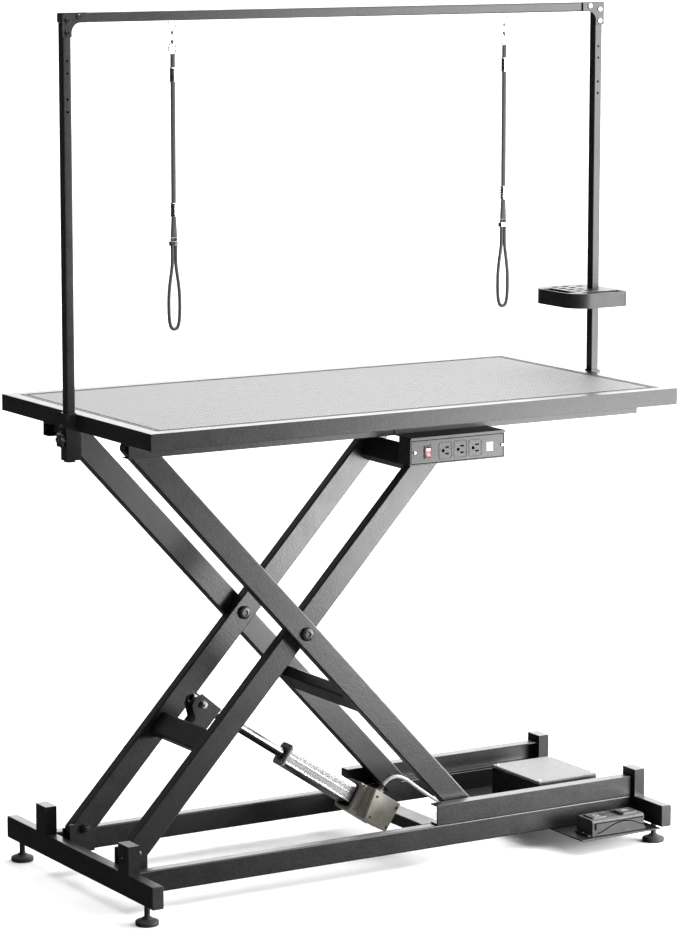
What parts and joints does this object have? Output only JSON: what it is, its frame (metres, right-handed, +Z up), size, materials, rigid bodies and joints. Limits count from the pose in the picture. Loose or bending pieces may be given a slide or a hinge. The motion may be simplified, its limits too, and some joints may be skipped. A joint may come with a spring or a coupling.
{
  "type": "pet grooming table",
  "caption": "Electric scissor-lift pet grooming table on a tube base, with a dimpled mat, an overhead gantry with nooses, a tool tray, a power box and a foot pedal.",
  "frame": {"origin": "on the floor, under the middle of the whole object's box", "axes": "+X along the table towards the control box and tool tray, -Y to the front where the pedal and power box are, +Z up"},
  "size_m": [1.3548, 0.6804, 1.816],
  "materials": {
    "powder_coat": "semi-gloss black powder coat with a fine texture",
    "board": "plywood under the mat",
    "mat": "light grey non-slip mat with a fine dot pattern",
    "black_plastic": "matt black moulded plastic",
    "light_plastic": "light grey moulded plastic",
    "housing_cast": "taupe-grey painted gear case",
    "aluminium": "satin extruded aluminium",
    "chrome": "bright plated steel",
    "roller_nylon": "dark nylon wheel",
    "red_rocker": "red translucent rocker",
    "rubber": "black rubber foot",
    "cord": "black braided nylon cord",
    "cable": "light grey cable jacket"
  },
  "bodies": {
    "base": {"left_end_frame": "powder_coat", "right_end_frame": "powder_coat", "front_base_rail": "powder_coat", "back_base_rail": "powder_coat", "mid_cross_beam": "powder_coat", "front_roller_track": "powder_coat", "back_roller_track": "powder_coat", "control_box": "black_plastic", "control_box_lid": "light_plastic", "pedal_shelf": "powder_coat", "pedal_housing": "black_plastic", "motor_cable": "cable"},
    "left_front_foot": {"left_front_levelling_foot": "rubber"},
    "left_back_foot": {"left_back_levelling_foot": "rubber"},
    "right_front_foot": {"right_front_levelling_foot": "rubber"},
    "right_back_foot": {"right_back_levelling_foot": "rubber"},
    "pedal_up": {"pedal_up_key": "black_plastic"},
    "pedal_down": {"pedal_down_key": "black_plastic"},
    "inner_arms": {"front_inner_arm": "powder_coat", "back_inner_arm": "powder_coat", "inner_arms_lower_tube": "powder_coat", "inner_arms_upper_tube": "powder_coat", "front_crossing_bolt": "powder_coat", "back_crossing_bolt": "powder_coat"},
    "front_upper_wheel": {"front_upper_roller": "roller_nylon"},
    "back_upper_wheel": {"back_upper_roller": "roller_nylon"},
    "outer_arms": {"front_outer_arm": "powder_coat", "back_outer_arm": "powder_coat", "outer_arms_cross_tube": "powder_coat"},
    "front_lower_wheel": {"front_lower_roller": "roller_nylon"},
    "back_lower_wheel": {"back_lower_roller": "roller_nylon"},
    "actuator": {"actuator_housing": "housing_cast", "actuator_tube": "aluminium"},
    "rod": {"actuator_rod": "chrome"},
    "table": {"tabletop_rim": "powder_coat", "tabletop_board": "board", "tabletop_mat": "mat", "front_table_channel": "powder_coat", "back_table_channel": "powder_coat", "power_box": "powder_coat", "power_faceplate": "powder_coat", "left_upright_clamp": "powder_coat", "right_upright_clamp": "powder_coat"},
    "switch": {"power_switch_rocker": "red_rocker"},
    "left_knob": {"left_clamp_knob": "black_plastic"},
    "right_knob": {"right_clamp_knob": "black_plastic"},
    "gantry": {"left_upright": "powder_coat", "right_upright": "powder_coat", "crossbar": "powder_coat", "left_corner_bracket": "powder_coat", "right_corner_bracket": "powder_coat", "left_noose_hook": "chrome", "right_noose_hook": "chrome"},
    "tray": {"tool_tray": "black_plastic"},
    "left_noose": {"left_noose_cord": "cord", "left_noose_loop": "cord"},
    "right_noose": {"right_noose_cord": "cord", "right_noose_loop": "cord"},
    "left_slider": {"left_noose_slider": "chrome"},
    "right_slider": {"right_noose_slider": "chrome"}
  },
  "joints": [
    {"name": "lift", "type": "hinge", "parent": "base", "child": "inner_arms", "pos_m": [-0.5759, -0.00825, 0.1106], "axis": [0, -1, 0], "range_deg": [-30, 0]},
    {"name": "scissor_crossing", "type": "hinge", "parent": "inner_arms", "child": "outer_arms", "pos_m": [-0.1859, -0.00825, 0.531], "axis": [0, -1, 0], "range_deg": [0, 60]},
    {"name": "table_pivot", "type": "hinge", "parent": "outer_arms", "child": "table", "pos_m": [-0.5759, -0.00825, 0.9514], "axis": [0, -1, 0], "range_deg": [-30, 0]},
    {"name": "actuator_swing", "type": "hinge", "parent": "base", "child": "actuator", "pos_m": [0.0779, -0.00825, 0.085], "axis": [0, -1, 0], "range_deg": [0, 8.55]},
    {"name": "actuator_stroke", "type": "slide", "parent": "actuator", "child": "rod", "axis": [-0.8315, 0, 0.5555], "range_m": [-0.1645, 0]},
    {"name": "front_lower_roller_turn", "type": "hinge", "parent": "outer_arms", "child": "front_lower_wheel", "pos_m": [0.2041, -0.17325, 0.1106], "axis": [0, 1, 0], "continuous": true},
    {"name": "front_upper_roller_turn", "type": "hinge", "parent": "inner_arms", "child": "front_upper_wheel", "pos_m": [0.2041, -0.17325, 0.9514], "axis": [0, 1, 0], "continuous": true},
    {"name": "back_lower_roller_turn", "type": "hinge", "parent": "outer_arms", "child": "back_lower_wheel", "pos_m": [0.2041, 0.15675, 0.1106], "axis": [0, 1, 0], "continuous": true},
    {"name": "back_upper_roller_turn", "type": "hinge", "parent": "inner_arms", "child": "back_upper_wheel", "pos_m": [0.2041, 0.15675, 0.9514], "axis": [0, 1, 0], "continuous": true},
    {"name": "left_front_foot_height", "type": "slide", "parent": "base", "child": "left_front_foot", "axis": [0, 0, 1], "range_m": [-0.01, 0.01]},
    {"name": "left_back_foot_height", "type": "slide", "parent": "base", "child": "left_back_foot", "axis": [0, 0, 1], "range_m": [-0.01, 0.01]},
    {"name": "right_front_foot_height", "type": "slide", "parent": "base", "child": "right_front_foot", "axis": [0, 0, 1], "range_m": [-0.01, 0.01]},
    {"name": "right_back_foot_height", "type": "slide", "parent": "base", "child": "right_back_foot", "axis": [0, 0, 1], "range_m": [-0.01, 0.01]},
    {"name": "pedal_up_press", "type": "slide", "parent": "base", "child": "pedal_up", "axis": [0, 0, -1], "range_m": [0, 0.003], "stiffness_N_per_m": 2000, "springref_m": -0.002},
    {"name": "pedal_down_press", "type": "slide", "parent": "base", "child": "pedal_down", "axis": [0, 0, -1], "range_m": [0, 0.003], "stiffness_N_per_m": 2000, "springref_m": -0.002},
    {"name": "power_switch_rock", "type": "hinge", "parent": "table", "child": "switch", "pos_m": [0.0497, -0.25855, 0.907], "axis": [1, 0, 0], "range_deg": [0, 14]},
    {"name": "left_knob_turn", "type": "hinge", "parent": "table", "child": "left_knob", "pos_m": [-0.6666, -0.00925, 0.956], "axis": [1, 0, 0], "continuous": true},
    {"name": "right_knob_turn", "type": "hinge", "parent": "table", "child": "right_knob", "pos_m": [0.6534, -0.00925, 0.956], "axis": [1, 0, 0], "continuous": true},
    {"name": "gantry_height", "type": "slide", "parent": "table", "child": "gantry", "axis": [0, 0, 1], "range_m": [-0.08, 0.04]},
    {"name": "tray_height", "type": "slide", "parent": "gantry", "child": "tray", "axis": [0, 0, 1], "range_m": [-0.06, 0.45]},
    {"name": "left_noose_swing", "type": "hinge", "parent": "gantry", "child": "left_noose", "pos_m": [-0.4076, -0.00925, 1.743], "axis": [1, 0, 0], "range_deg": [-70, 70]},
    {"name": "left_slider_slide", "type": "slide", "parent": "left_noose", "child": "left_slider", "axis": [0, 0, 1], "range_m": [-0.035, 0]},
    {"name": "right_noose_swing", "type": "hinge", "parent": "gantry", "child": "right_noose", "pos_m": [0.4004, -0.00925, 1.743], "axis": [1, 0, 0], "range_deg": [-70, 70]},
    {"name": "right_slider_slide", "type": "slide", "parent": "right_noose", "child": "right_slider", "axis": [0, 0, 1], "range_m": [-0.035, 0]}
  ],
  "couplings": [
    {"joint": "scissor_crossing", "follows": "lift", "ratio": -2},
    {"joint": "table_pivot", "follows": "lift", "ratio": 1},
    {"joint": "actuator_swing", "follows": "lift", "ratio": -0.285},
    {"joint": "actuator_stroke", "follows": "lift", "m_per_rad": 0.314}
  ]
}
